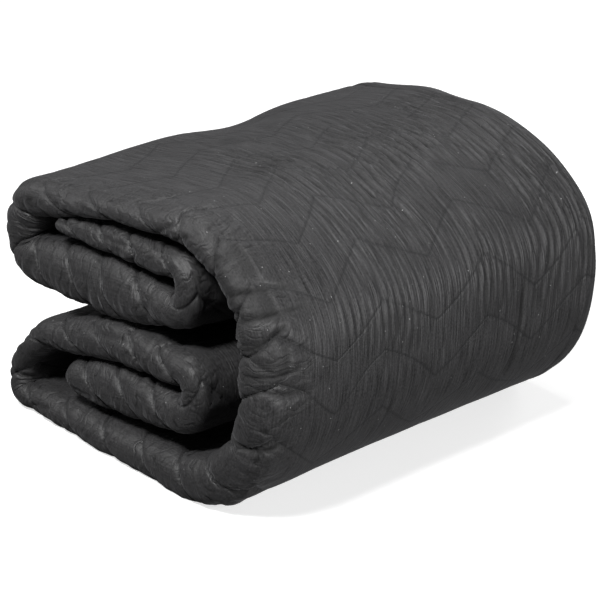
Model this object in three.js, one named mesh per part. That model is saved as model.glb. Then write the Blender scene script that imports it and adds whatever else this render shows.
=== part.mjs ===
// A quilted sound dampening blanket, folded away.
// The flat blanket is folded in four across its width. The strip that this makes is turned in from both
// of its ends and then closed like a book, so its section is one unbroken line: tail, return, top,
// spine, bottom, return, tail.
// Millimetres, +Z up. +Y runs along the folds, away from the end where the turns show, +X points to the
// closed spine, and the origin is at the bottom centre.
import * as THREE from 'three';

// The folded width is a quarter of the flat width. NOSE is how far the near folds stand out in Y.
const FOLDED_WIDTH = 457;
const PLIES = 4;
const NOSE = 24;
const INNER_NOSE_SHARE = 0.8;

// The air between two plies, as a share of half the loft, and the hems at the far end: half a hem's
// thickness as a share of half the loft, and how far the inner hem lies behind the outer one.
const PLY_GAP_SHARE = 0.05;
const HEM_SHARE = 0.12;
const HEM_SETBACK = 8;

// Shares of the folded width: how far the near end's shape reaches along it, and where the far end
// starts to draw in. Then the share by which the far end is narrower in X.
const NEAR_DROOP_SHARE = 0.6;
const FAR_DRAW_START = 0.5;
const FAR_DRAW_SHARE = 0.05;

// The hems across the strip's two tails press them flatter by this share, over this length.
const TAIL_FLATNESS = 0.3;
const TAIL_TAPER = 70;

// The quilting: rows of zigzag stitching that run along the folds, a pitch apart, with puffs between
// them. A low roundness makes a full puff with a narrow stitch, and the beat is the angle in radians
// by which the unevenness moves on from one row to the next.
const QUILT_PITCH = 57;
const ZIGZAG_RISE = 42;
const ZIGZAG_COUNT = 6;
const QUILT_DEPTH = 3;
const PINCH_SHARE = 0.2;
const PUFF_ROUNDNESS = 0.7;
const PUFF_UNEVENNESS = 0.3;
const PUFF_BEAT = 2.4;

// The strip's middle line, run by run, in the order in which the cloth passes through it. Each row gives,
// at the near end and at the far end, where the run starts and ends in X and Z, the loft of its plies
// together, in the run and in the fold that follows it, and how full that fold is, 1 for a round one. It
// also gives how far the run's middle bows outwards, how far its near edge is set back, and the share of
// the zigzag that shows on it.
const RUNS = [
  { run: 'upper tail', bow: 2, setBack: 6, zigzag: 0,
    near: { fromX: -122, fromZ: 226, toX: 84, toZ: 241, loft: 29, foldLoft: 32, fullness: 1 },
    far: { fromX: -120, fromZ: 210, toX: 78, toZ: 222, loft: 38, foldLoft: 36, fullness: 1 } },
  { run: 'upper return', bow: 0, setBack: 0, zigzag: 0,
    near: { fromX: 90, fromZ: 188, toX: -156, toZ: 173, loft: 66, foldLoft: 46, fullness: 1 },
    far: { fromX: 76, fromZ: 171, toX: -144, toZ: 164, loft: 40, foldLoft: 40, fullness: 1 } },
  { run: 'top', bow: 4, setBack: 2, zigzag: 1,
    near: { fromX: -152, fromZ: 249, toX: 66, toZ: 282, loft: 26, foldLoft: 38, fullness: 0.8 },
    far: { fromX: -142, fromZ: 250, toX: 16, toZ: 272, loft: 40, foldLoft: 42, fullness: 0.88 } },
  { run: 'spine', bow: 0, setBack: 0, zigzag: 1,
    near: { fromX: 192, fromZ: 188, toX: 192, toZ: 150, loft: 56, foldLoft: 52, fullness: 1 },
    far: { fromX: 186, fromZ: 174, toX: 184, toZ: 150, loft: 52, foldLoft: 44, fullness: 1 } },
  { run: 'bottom', bow: 0, setBack: 0, zigzag: 0,
    near: { fromX: 66, fromZ: 16, toX: -172, toZ: 13, loft: 38, foldLoft: 28, fullness: 0.75 },
    far: { fromX: 60, fromZ: 18, toX: -160, toZ: 18, loft: 40, foldLoft: 34, fullness: 0.75 } },
  { run: 'lower return', bow: 9, setBack: 3, zigzag: 0,
    near: { fromX: -132, fromZ: 101, toX: 96, toZ: 134, loft: 43, foldLoft: 34, fullness: 1 },
    far: { fromX: -132, fromZ: 104, toX: 82, toZ: 126, loft: 40, foldLoft: 36, fullness: 1 } },
  { run: 'lower tail', bow: -2, setBack: 4, zigzag: 0,
    near: { fromX: 92, fromZ: 82, toX: -110, toZ: 62, loft: 52, foldLoft: 40, fullness: 1 },
    far: { fromX: 80, fromZ: 76, toX: -108, toZ: 66, loft: 40, foldLoft: 40, fullness: 1 } },
];

// How finely the surface is divided and the line is measured
const LENGTH_SAMPLES = 32;
const HEADING_STEP = 1e-3;
const ROWS_PER_PITCH = 2;
const LARGEST_TURN_PER_ROW = 0.45;
const NEAR_FOLD_STEPS = 6;
const INNER_FOLD_STEPS = 4;
const QUILTED_COLUMNS = 2 * ZIGZAG_COUNT;
const PLAIN_COLUMNS = 2;

const HALF_WIDTH = FOLDED_WIDTH / 2;
const NEAR_Y = -HALF_WIDTH + NOSE;
const FAR_Y = HALF_WIDTH - NOSE / 2;
const ZIGZAG_RUN = (FAR_Y - NEAR_Y) / ZIGZAG_COUNT;
const PLY_STEP = 2 / PLIES;
const HALFWAY = 0.5;
const FULL_TURN = 2 * Math.PI;

const { lerp, clamp, smoothstep } = THREE.MathUtils;

// A column of a row at a place along the folds: 0 is the near end and 1 the far end.
function columnAt(row, name, along) {
  return lerp(row.near[name], row.far[name], smoothstep(along, 0, NEAR_DROOP_SHARE));
}

function runAt(row, along) {
  return {
    from: new THREE.Vector2(columnAt(row, 'fromX', along), columnAt(row, 'fromZ', along)),
    to: new THREE.Vector2(columnAt(row, 'toX', along), columnAt(row, 'toZ', along)),
  };
}

// A point on a run: a line that bows outwards in its middle and keeps its direction at both ends.
function runPoint(row, along, t) {
  const { from, to } = runAt(row, along);
  const out = new THREE.Vector2(from.y - to.y, to.x - from.x).normalize();
  return from.clone().lerp(to, t).addScaledVector(out, row.bow * Math.sin(Math.PI * t) ** 2);
}

// A point on the fold between two runs: a cubic that leaves along one run and arrives along the next,
// with handles of the length that makes a round arc of that turn, or a share of it.
function foldPoint(row, nextRow, along, t) {
  const before = runAt(row, along);
  const after = runAt(nextRow, along);
  const leaving = before.to.clone().sub(before.from).normalize();
  const arriving = after.to.clone().sub(after.from).normalize();
  const turn = (leaving.angle() - arriving.angle() + FULL_TURN) % FULL_TURN;
  const chord = before.to.distanceTo(after.from);
  const round = (chord * (4 / 3) * Math.tan(turn / 4)) / (2 * Math.sin(turn / 2));
  const handle = round * columnAt(row, 'fullness', along);
  return new THREE.CubicBezierCurve(
    before.to,
    before.to.clone().addScaledVector(leaving, handle),
    after.from.clone().addScaledVector(arriving, -handle),
    after.from,
  ).getPoint(t);
}

// The runs and folds in order, each with its loft, its set back and its length along the strip.
function middleLine() {
  const stretches = [];
  RUNS.forEach((row, i) => {
    const next = RUNS[i + 1];
    const shared = { setBack: () => row.setBack, zigzag: () => row.zigzag };
    stretches.push({
      ...shared,
      point: (along, t) => runPoint(row, along, t),
      loft: (along) => columnAt(row, 'loft', along),
      pressed: row.run === 'bottom' ? 1 : 0,
    });
    if (next) {
      stretches.push({
        ...shared,
        point: (along, t) => foldPoint(row, next, along, t),
        loft: (along) => columnAt(row, 'foldLoft', along),
        pressed: 0,
      });
    }
  });
  let start = 0;
  for (const stretch of stretches) {
    let length = 0;
    for (let k = 0; k < LENGTH_SAMPLES; k += 1) {
      const here = stretch.point(HALFWAY, k / LENGTH_SAMPLES);
      length += here.distanceTo(stretch.point(HALFWAY, (k + 1) / LENGTH_SAMPLES));
    }
    Object.assign(stretch, { start, length, middle: start + length / 2 });
    start += length;
  }
  return stretches;
}

const LINE = middleLine();
const STRIP_LENGTH = LINE.at(-1).start + LINE.at(-1).length;
const PITCH_COUNT = Math.round(STRIP_LENGTH / QUILT_PITCH);
const PITCH = STRIP_LENGTH / PITCH_COUNT;

// A value of the stretches that changes smoothly from the middle of one to the middle of the next.
function smoothAlong(name, s, along) {
  const after = LINE.findIndex((stretch) => stretch.middle > s);
  if (after === 0) return LINE[0][name](along);
  if (after < 0) return LINE.at(-1)[name](along);
  const [a, b] = [LINE[after - 1], LINE[after]];
  return lerp(a[name](along), b[name](along), smoothstep(s, a.middle, b.middle));
}

// The place and the outward direction of the strip's middle line at a length along it.
function stripAt(s, along) {
  const stretch = LINE.findLast((part) => part.start <= s) ?? LINE[0];
  const t = clamp((s - stretch.start) / stretch.length, 0, 1);
  const behind = stretch.point(along, Math.max(0, t - HEADING_STEP));
  const heading = stretch.point(along, Math.min(1, t + HEADING_STEP)).sub(behind).normalize();
  const out = new THREE.Vector2(-heading.y, heading.x);
  return { place: stretch.point(along, t), out, pressed: stretch.pressed };
}

// The loft of the four plies, which the hems press flatter towards the two tails.
function loftAt(s, along) {
  const fromTail = Math.min(s, STRIP_LENGTH - s);
  return smoothAlong('loft', s, along) * (1 - TAIL_FLATNESS * (1 - smoothstep(fromTail, 0, TAIL_TAPER)));
}

// The zigzag of the stitching along the folds, from -1 to 1, with a corner at every zigzag run.
function zigzag(y) {
  const phase = Math.abs(y - NEAR_Y) / ZIGZAG_RUN;
  return 2 * Math.abs(phase - 2 * Math.round(phase / 2)) - 1;
}

// The rows of points across the strip: on the stitches, on the puffs between them, and more where the
// strip turns tightly.
function stripRows() {
  const spacing = PITCH / ROWS_PER_PITCH;
  const rows = [];
  for (let i = 0; i < PITCH_COUNT * ROWS_PER_PITCH; i += 1) {
    const here = stripAt(i * spacing, HALFWAY).out;
    const there = stripAt((i + 1) * spacing, HALFWAY).out;
    const turn = Math.acos(clamp(here.dot(there), -1, 1));
    const parts = Math.ceil(turn / LARGEST_TURN_PER_ROW) || 1;
    for (let k = 0; k < parts; k += 1) rows.push((i + k / parts) * spacing);
  }
  return [...rows, STRIP_LENGTH];
}

// How far the stitches draw the cloth in: 0 on top of a puff and 1 in the stitches.
function drawnIn(s) {
  const pitches = s / PITCH;
  const unevenness = 1 + PUFF_UNEVENNESS * Math.sin(PUFF_BEAT * Math.round(pitches));
  return unevenness * (1 - Math.abs(Math.sin(Math.PI * pitches)) ** PUFF_ROUNDNESS);
}

// The outline of the four plies, cut across the strip and run round once. n is the share of half the
// loft, 1 on the outer face and -1 on the inner one, and reach is the share of the nose by which a fold
// or hem stands past y. The outer ply folds round the inner one at the near end. At the far end two
// plies join in a fold and the other two end in hems.
function plyOutline() {
  const points = [];
  const gap = PLY_GAP_SHARE / 2;
  const face = (fromY, toY, n, columns, quilted = 0) => {
    for (let k = 0; k <= columns; k += 1) {
      points.push({ y: lerp(fromY, toY, k / columns), n, reach: 0, quilted, nose: 0 });
    }
  };
  const fold = (y, way, fromN, toN, steps, nose = 0) => {
    for (let k = 1; k < steps; k += 1) {
      const turn = (Math.PI * k) / steps;
      const n = (fromN + toN) / 2 + ((fromN - toN) / 2) * Math.cos(turn);
      const reach = way * (Math.abs(fromN - toN) / 2) * Math.sin(turn) * (nose ? 1 : INNER_NOSE_SHARE);
      points.push({ y, n, reach, quilted: (nose * (1 + Math.cos(turn))) / 2, nose: nose * Math.sin(turn) });
    }
  };
  const hem = (fromN, toN, reach) => {
    const middle = (fromN + toN) / 2;
    const way = Math.sign(toN - fromN);
    for (const n of [middle - way * HEM_SHARE, middle + way * HEM_SHARE]) {
      points.push({ y: FAR_Y, n, reach, quilted: 0, nose: 0 });
    }
  };
  const hemReach = (HALF_WIDTH - FAR_Y) / NOSE;
  face(FAR_Y, NEAR_Y, 1, QUILTED_COLUMNS, 1);
  fold(NEAR_Y, -1, 1, -1, NEAR_FOLD_STEPS, 1);
  face(NEAR_Y, FAR_Y, -1, PLAIN_COLUMNS);
  fold(FAR_Y, 1, -1, -gap, INNER_FOLD_STEPS);
  face(FAR_Y, NEAR_Y, -gap, PLAIN_COLUMNS);
  face(NEAR_Y, FAR_Y, gap, PLAIN_COLUMNS);
  hem(gap, PLY_STEP - gap, hemReach - HEM_SETBACK / NOSE);
  face(FAR_Y, NEAR_Y, PLY_STEP - gap, PLAIN_COLUMNS);
  fold(NEAR_Y, -1, PLY_STEP - gap, gap - PLY_STEP, INNER_FOLD_STEPS);
  face(NEAR_Y, FAR_Y, gap - PLY_STEP, PLAIN_COLUMNS);
  face(FAR_Y, NEAR_Y, -PLY_STEP - gap, PLAIN_COLUMNS);
  fold(NEAR_Y, -1, -PLY_STEP - gap, PLY_STEP + gap, INNER_FOLD_STEPS);
  face(NEAR_Y, FAR_Y, PLY_STEP + gap, PLAIN_COLUMNS);
  hem(PLY_STEP + gap, 1, hemReach);
  return points;
}

// A point of the outline, carried to a row of the strip.
function clothPoint(point, row) {
  const along = (point.y + HALF_WIDTH) / FOLDED_WIDTH;
  const rise = (ZIGZAG_RISE / 2) * smoothAlong('zigzag', row, along) * point.quilted;
  const s = row + rise * zigzag(point.y);
  const { place, out, pressed } = stripAt(s, along);
  const stitched = drawnIn(row);
  const pinch = 1 - PINCH_SHARE * stitched * point.nose;
  const relief = QUILT_DEPTH * stitched * point.quilted * (1 - pressed);
  const offset = (point.n * pinch * loftAt(s, along)) / 2 - relief;
  const setBack = smoothAlong('setBack', s, along) * point.nose;
  const drawn = 1 - FAR_DRAW_SHARE * smoothstep(along, FAR_DRAW_START, 1);
  return new THREE.Vector3(
    drawn * (place.x + out.x * offset),
    point.y + point.reach * NOSE * pinch + setBack,
    Math.max(place.y + out.y * offset, 0),
  );
}

// The cloth: the outline swept along the strip and closed at both tails.
function blanketGeometry() {
  const outline = plyOutline();
  const rows = stripRows();
  const corners = rows.flatMap((row) => outline.map((point) => clothPoint(point, row)));
  const triangles = [];
  const at = (i, k) => i * outline.length + (k % outline.length);
  for (let i = 0; i + 1 < rows.length; i += 1) {
    for (let k = 0; k < outline.length; k += 1) {
      const [a, b, c, d] = [at(i, k), at(i, k + 1), at(i + 1, k + 1), at(i + 1, k)];
      const awayFromNear = corners[b].y >= corners[a].y;
      triangles.push(...(awayFromNear ? [a, b, c, a, c, d] : [a, b, d, b, c, d]));
    }
  }
  const tailFaces = (i) => {
    const { out } = stripAt(rows[i], HALFWAY);
    const flat = outline.map((point, k) => {
      const corner = corners[at(i, k)];
      return new THREE.Vector2(corner.y, corner.x * out.x + corner.z * out.y);
    });
    return THREE.ShapeUtils.triangulateShape(flat, []).map((face) => face.map((k) => at(i, k)));
  };
  for (const [a, b, c] of tailFaces(0)) triangles.push(c, b, a);
  for (const face of tailFaces(rows.length - 1)) triangles.push(...face);
  const geometry = new THREE.BufferGeometry().setFromPoints(corners);
  geometry.setIndex(triangles);
  const box = new THREE.Box3().setFromPoints(corners);
  const middle = box.getCenter(new THREE.Vector3());
  geometry.translate(-middle.x, -middle.y, -box.min.z);
  geometry.computeVertexNormals();
  return geometry;
}

const cloth = new THREE.MeshStandardMaterial({ color: 0x414041, roughness: 0.85, metalness: 0 });
const blanket = new THREE.Mesh(blanketGeometry(), cloth);
blanket.name = 'quilted_blanket';

const part = new THREE.Group();
part.add(blanket);

export default part;
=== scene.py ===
# %% [markdown]
# # A folded sound dampening blanket
# The real thing is one quilted cloth: a thin charcoal microfibre face, a soft filling and a back, sewn
# together in rows of zigzag stitching. It is folded in four across its width, and the long strip that this
# makes is turned in from both ends and closed like a book. This lesson builds that cloth as one closed mesh
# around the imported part, gives it its fabric, and lights it as a product photo is lit.

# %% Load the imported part
import functools
import math

import bpy
import numpy as np
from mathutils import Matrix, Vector


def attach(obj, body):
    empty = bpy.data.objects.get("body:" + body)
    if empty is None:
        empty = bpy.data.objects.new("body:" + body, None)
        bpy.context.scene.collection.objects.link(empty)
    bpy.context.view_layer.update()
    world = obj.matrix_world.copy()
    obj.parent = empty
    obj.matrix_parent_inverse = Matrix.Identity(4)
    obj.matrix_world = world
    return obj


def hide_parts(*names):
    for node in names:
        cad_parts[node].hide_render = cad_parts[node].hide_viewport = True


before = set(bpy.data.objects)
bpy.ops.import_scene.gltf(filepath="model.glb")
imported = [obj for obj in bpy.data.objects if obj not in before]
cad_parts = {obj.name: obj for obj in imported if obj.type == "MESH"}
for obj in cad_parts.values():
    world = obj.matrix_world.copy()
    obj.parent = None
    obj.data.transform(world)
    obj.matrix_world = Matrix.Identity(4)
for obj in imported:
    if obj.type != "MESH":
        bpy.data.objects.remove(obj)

bpy.ops.object.select_all(action="DESELECT")
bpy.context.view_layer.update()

# %% [markdown]
# ## The camera
# The photo was taken from a little above, with a long lens, so that parallel edges stay nearly parallel.
# A camera can be placed by eye in the viewport. Here it is placed by angles: a point to look at, two angles
# and a distance, because the same numbers can then be compared with the photo.

# %% Place the camera
LOOK_AT = Vector((-0.0055, 0.0, 0.1215))
AZIMUTH, ELEVATION = math.radians(50.0), math.radians(23.5)
DISTANCE = 3.295
LENS, SENSOR = 192.0, 36.0

backwards = Vector((
    math.sin(AZIMUTH) * math.cos(ELEVATION),
    -math.cos(AZIMUTH) * math.cos(ELEVATION),
    math.sin(ELEVATION),
))
bpy.ops.object.camera_add(location=LOOK_AT + DISTANCE * backwards,
                          rotation=backwards.to_track_quat("Z", "Y").to_euler())
camera = bpy.context.object
camera.name = "photo_camera"
camera.data.lens, camera.data.sensor_width = LENS, SENSOR
bpy.context.scene.camera = camera
print("camera at", [round(x, 3) for x in camera.location])

# %% [markdown]
# ## How the strip is folded
# Seen from its near end, the strip is one line that never breaks: tail, return, top, spine, bottom, return,
# tail. A line like this can be drawn as a curve and moved by hand. A table is easier to keep true: each run
# has a start, an end and a loft at the near end and at the far end, in millimetres, and a round fold joins
# it to the next. The near lofts are full, because there the layers are puffed up and all but touch.

# %% The runs of the strip
MM = 0.001
COLUMNS = ("from_x", "from_z", "to_x", "to_z", "loft", "fold_loft", "fullness")


def run(name, bow, set_back, near, far):
    """One run of the strip, with its columns by name."""
    return {"name": name, "bow": bow, "set_back": set_back,
            "near": dict(zip(COLUMNS, near)), "far": dict(zip(COLUMNS, far))}


RUNS = [
    run("upper tail", 2, 6,
        near=(-122, 226, 60, 239, 30, 34, 1.0), far=(-120, 210, 78, 222, 38, 36, 1.0)),
    run("upper return", 0, 2,
        near=(58, 190, -160, 171, 64, 47, 1.0), far=(76, 171, -144, 164, 40, 40, 1.0)),
    run("top", 4, 2,
        near=(-151, 243, 66, 282, 27, 40, 0.8), far=(-143, 252, 16, 275, 40, 30, 0.78)),
    run("spine", 0, 0,
        near=(192, 188, 192, 150, 57, 54, 1.0), far=(186, 190, 184, 136, 52, 44, 1.0)),
    run("bottom", 0, 0,
        near=(66, 16, -179, 13, 38, 30, 0.75), far=(60, 18, -160, 18, 40, 34, 0.75)),
    run("lower return", 9, 3,
        near=(-132, 99.5, 70, 131, 45, 37, 1.0), far=(-132, 104, 82, 126, 40, 36, 1.0)),
    run("lower tail", -2, 4,
        near=(66, 82, -110, 62, 52, 43, 1.0), far=(80, 76, -108, 66, 40, 40, 1.0)),
]
print(len(RUNS), "runs")

# %% Small helpers
def lerp(a, b, t):
    """Part of the way from a to b."""
    return a + (b - a) * t


def smooth(t):
    """From 0 to 1 with a soft start and a soft end."""
    t = np.clip(t, 0.0, 1.0)
    return t * t * (3.0 - 2.0 * t)


def unit(v):
    """Directions of length 1."""
    return v / np.linalg.norm(v, axis=-1, keepdims=True)


def left_of(v):
    """Directions turned left by a quarter turn."""
    return np.stack([-v[:, 1], v[:, 0]], axis=-1)


print("a soft step passes", [round(float(smooth(t)), 2) for t in (0.25, 0.5, 0.75)])

# %% A run and the fold after it
NEAR_DROOP_SHARE = 0.6
FULL_TURN = 2 * math.pi


def column(row, name, along):
    """A column of a run, from the near end (along 0) to the far end (along 1)."""
    return lerp(row["near"][name], row["far"][name], smooth(along / NEAR_DROOP_SHARE))


def run_ends(row, along):
    """Where a run starts and ends, in X and Z."""
    start = np.stack([column(row, "from_x", along), column(row, "from_z", along)], axis=-1)
    end = np.stack([column(row, "to_x", along), column(row, "to_z", along)], axis=-1)
    return start, end


def run_point(row, along, t):
    """A point on a run, which bows outwards in its middle."""
    start, end = run_ends(row, along)
    bow = row["bow"] * np.sin(np.pi * t) ** 2
    return start + (end - start) * t[:, None] + left_of(unit(end - start)) * bow[:, None]


def fold_point(row, after, along, t):
    """A point on the round fold between two runs: a curve from a to d with the handles b and c."""
    row_start, a = run_ends(row, along)
    d, after_end = run_ends(after, along)
    leaving, arriving = unit(a - row_start), unit(after_end - d)
    heading_from = np.arctan2(leaving[:, 1], leaving[:, 0])
    heading_to = np.arctan2(arriving[:, 1], arriving[:, 0])
    turn = (heading_from - heading_to) % FULL_TURN
    chord = np.linalg.norm(d - a, axis=-1)
    handle = column(row, "fullness", along) * chord * 4 / 3 * np.tan(turn / 4) / (2 * np.sin(turn / 2))
    b, c = a + leaving * handle[:, None], d - arriving * handle[:, None]
    t = t[:, None]
    return a * (1 - t) ** 3 + b * 3 * t * (1 - t) ** 2 + c * 3 * t ** 2 * (1 - t) + d * t ** 3


HALFWAY = np.array([0.5])
for row in RUNS:
    print(row["name"], "has its middle at X and Z", run_point(row, HALFWAY, HALFWAY)[0].round().tolist())

# %% The strip from end to end
LENGTH_SAMPLES = 33


def stretches_of(runs):
    """The runs and the folds between them, in order, each with its start and length along the strip."""
    found, start = [], 0.0
    for row, after in zip(runs, [*runs[1:], None]):
        found.append({"point": lambda along, t, row=row: run_point(row, along, t),
                      "loft": "loft", "row": row})
        if after is not None:
            found.append({"point": lambda along, t, row=row, after=after: fold_point(row, after, along, t),
                          "loft": "fold_loft", "row": row})
    for stretch in found:
        line = stretch["point"](np.full(LENGTH_SAMPLES, 0.5), np.linspace(0, 1, LENGTH_SAMPLES))
        stretch["start"] = start
        stretch["length"] = float(np.linalg.norm(np.diff(line, axis=0), axis=-1).sum())
        start += stretch["length"]
    return found, start


STRETCHES, STRIP_LENGTH = stretches_of(RUNS)
STARTS = np.array([stretch["start"] for stretch in STRETCHES])
LENGTHS = np.array([stretch["length"] for stretch in STRETCHES])
MIDDLES = STARTS + LENGTHS / 2


def run_number(name):
    """The number of a run among the stretches."""
    return 2 * [row["name"] for row in RUNS].index(name)


def fold_after(name):
    """The number of the fold that follows a run."""
    return run_number(name) + 1


TOP_START, BOTTOM_START = STARTS[run_number("top")], STARTS[run_number("bottom")]
print("strip", round(STRIP_LENGTH), "mm long in", len(STRETCHES), "stretches")

# %% Reading the strip at any length
HEADING_STEP = 1e-3


def strip(s, along):
    """The place and the outward direction, in X and Z, of points at lengths s along the strip."""
    which = np.clip(np.searchsorted(STARTS, s, side="right") - 1, 0, len(STRETCHES) - 1)
    place, heading = np.zeros((len(s), 2)), np.zeros((len(s), 2))
    for k, stretch in enumerate(STRETCHES):
        here = which == k
        if here.any():
            t = np.clip((s[here] - stretch["start"]) / stretch["length"], 0, 1)
            place[here] = stretch["point"](along[here], t)
            before = stretch["point"](along[here], np.maximum(t - HEADING_STEP, 0))
            heading[here] = stretch["point"](along[here], np.minimum(t + HEADING_STEP, 1)) - before
    return place, left_of(unit(heading))


def between_stretches(values, s):
    """Values of the stretches, eased from the middle of one to the middle of the next."""
    after = np.clip(np.searchsorted(MIDDLES, s, side="right"), 1, len(MIDDLES) - 1)
    t = smooth((s - MIDDLES[after - 1]) / (MIDDLES[after] - MIDDLES[after - 1]))
    pick = np.arange(len(s))
    return lerp(values[after - 1, pick], values[after, pick], t)


def loft_at(s, along):
    """How thick the four plies lie."""
    return between_stretches(np.stack([column(p["row"], p["loft"], along) for p in STRETCHES]), s)


def set_back_at(s):
    """How far the near nose lies behind the front of the bundle."""
    return between_stretches(np.stack([np.full(len(s), p["row"]["set_back"]) for p in STRETCHES]), s)


spine_middle = np.full(2, MIDDLES[run_number("spine")])
print("loft of the spine, near and far:", loft_at(spine_middle, np.array([0.0, 1.0])).round(1).tolist(), "mm")

# %% [markdown]
# ## The four plies
# Cut across, the strip shows how the blanket was folded in four: the outer ply comes from its hem at the far
# end, turns round the near end in a big soft nose, goes back, turns again inside, and ends in a second hem.
# Four sheets could be modelled and sewn together. One outline that goes once round the whole section is
# simpler, because sweeping it along the strip gives a closed cloth with no seams. Each point of the outline
# keeps its place on the flat cloth, which later drives the quilting and the fabric.

# %% Sizes of the plies
FOLDED_WIDTH = 457.0
HALF_WIDTH = FOLDED_WIDTH / 2
NOSE = 24.0
PLIES = 4
PLY_STEP = 2 / PLIES
PLY_GAP = 0.025
INNER_NOSE_SHARE = 0.8
NEAR_Y, FAR_Y = -HALF_WIDTH + NOSE, HALF_WIDTH - NOSE / 2
PLY_LENGTH = FAR_Y - NEAR_Y
NOSE_ARC = math.pi * NOSE
FOLD_ARC = 0.3 * NOSE
HEM_REACH = (HALF_WIDTH - FAR_Y) / NOSE
HEM_SETBACK = 8.0 / NOSE
HEM_PROFILE = ((0.4, 0.17), (0.85, 0.13), (1.0, 0.05))
print("a ply is", round(PLY_LENGTH), "mm deep and its nose", round(NOSE_ARC), "mm round")

# %% Points along a face, round a fold and round a hem
# A point has its places u on the flat cloth and y along the fold, its height n in half lofts and its reach
# past y in noses, and the same two for the middle of its ply. skin says if the relief acts on it, toward_out
# and toward_y which way, nose how far ahead on the near nose it lies, and hem if it is on a hem.
FIELDS = ("u", "y", "n", "reach", "middle_n", "middle_reach", "skin", "nose", "toward_out", "toward_y", "hem")


def outline_point(**given):
    """One point of the outline. A field that isn't given is 0."""
    return [given.get(name, 0.0) for name in FIELDS]


def ply_face(u_ends, y_ends, n, middle, steps, skin=0.0, toward=0.0, ease=1.0):
    """Points along one face of a ply, with shorter steps at its start or its end."""
    found = []
    for t in np.linspace(0, 1, steps + 1):
        t = t ** ease if ease >= 1 else 1 - (1 - t) ** (1 / ease)
        found.append(outline_point(u=lerp(*u_ends, t), y=lerp(*y_ends, t), n=n, middle_n=middle,
                                   skin=skin, toward_out=toward))
    return found


def ply_fold(u_ends, y, way, n_ends, middle, steps, nose=0.0, flat=1.0):
    """Points round the fold between two faces."""
    n_from, n_to = n_ends
    centre, side = (n_from + n_to) / 2, math.copysign(1.0, n_from - n_to)
    found = []
    for t in np.arange(1, steps) / steps:
        across, ahead = math.cos(math.pi * t), math.sin(math.pi * t)
        found.append(outline_point(
            u=lerp(*u_ends, t), y=y,
            n=centre + (n_from - n_to) / 2 * across, reach=way * abs(n_from - n_to) / 2 * ahead * flat,
            middle_n=centre + side * middle * across, middle_reach=way * middle * ahead * flat,
            skin=nose, nose=nose * ahead, toward_out=nose * across, toward_y=nose * way * ahead,
        ))
    return found


def ply_hem(u, n_ends, reach, way):
    """Points round the hem at the end of a ply."""
    n_from, n_to = n_ends
    middle, turn = (n_from + n_to) / 2, math.copysign(1.0, n_from - n_to)
    back = [(share, -half) for share, half in reversed(HEM_PROFILE)]
    return [outline_point(u=u + way * reach * share * NOSE, y=FAR_Y, n=middle + turn * half,
                          reach=reach * share, middle_n=middle, middle_reach=reach * share, hem=1.0)
            for share, half in [*HEM_PROFILE, *back]]


print(2 * len(HEM_PROFILE), "points round a hem")

# %% The outline of the plies
NOSE_STEPS, INNER_STEPS, HIDDEN_STEPS = 30, 18, 3
INNER_EASE = 1.7


def ply_outline(steps, ease):
    """The outline as columns by name, with that many steps on its outer face."""
    # The places on the flat cloth where a ply or a fold ends, from the outer hem to the inner one.
    a = PLY_LENGTH
    b = a + NOSE_ARC
    c = b + PLY_LENGTH
    d = c + FOLD_ARC
    e = d + PLY_LENGTH
    f = e + FOLD_ARC
    g = f + PLY_LENGTH
    to_far, to_near = (NEAR_Y, FAR_Y), (FAR_Y, NEAR_Y)
    low, high = PLY_STEP / 2, 1 - PLY_STEP / 2
    inside, outside = PLY_STEP - PLY_GAP, PLY_STEP + PLY_GAP
    hidden, tucked = HIDDEN_STEPS, INNER_NOSE_SHARE
    points = [
        *ply_face((0, a), to_near, 1.0, high, steps, skin=1.0, toward=1.0, ease=ease),
        *ply_fold((a, b), NEAR_Y, -1, (1.0, -1.0), high, NOSE_STEPS, nose=1.0),
        *ply_face((b, c), to_far, -1.0, -high, INNER_STEPS, skin=1.0, toward=-1.0, ease=INNER_EASE),
        *ply_fold((c, d), FAR_Y, 1, (-1.0, -PLY_GAP), low, 2 * hidden, flat=tucked),
        *ply_face((d, e), to_near, -PLY_GAP, -low, hidden),
        *ply_face((f, g), to_far, PLY_GAP, low, hidden),
        *ply_hem(g, (PLY_GAP, inside), HEM_REACH - HEM_SETBACK, 1),
        *ply_face((g, f), to_near, inside, low, hidden),
        *ply_fold((f, e), NEAR_Y, -1, (inside, -inside), low, hidden + 1, flat=tucked),
        *ply_face((e, d), to_far, -inside, -low, hidden),
        *ply_face((c, b), to_near, -outside, -high, hidden),
        *ply_fold((b, a), NEAR_Y, -1, (-outside, outside), high, hidden + 1, flat=tucked),
        *ply_face((a, 0), to_far, outside, high, hidden),
        *ply_hem(0, (outside, 1.0), HEM_REACH, -1),
    ]
    return dict(zip(FIELDS, np.array(points).T))


OUTER_STEPS_AND_EASE = {"fine": (200, 1.0), "medium": (84, 0.8), "coarse": (34, 0.6)}
OUTLINES = {kind: ply_outline(*outer) for kind, outer in OUTER_STEPS_AND_EASE.items()}

# %% [markdown]
# ## The quilting
# Rows of zigzag stitching run along the folds, and the filling swells up between them. The rows could be cut
# into the mesh as edges. It is simpler to ask every point of the cloth how far it lies from the nearest
# stitch, because that one distance shapes the puffs here and draws the thread in the fabric later.

# %% Soft unevenness
LATTICE = 256


@functools.lru_cache
def lattice(seed):
    return np.random.default_rng(seed).uniform(-1, 1, (LATTICE, LATTICE))


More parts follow.
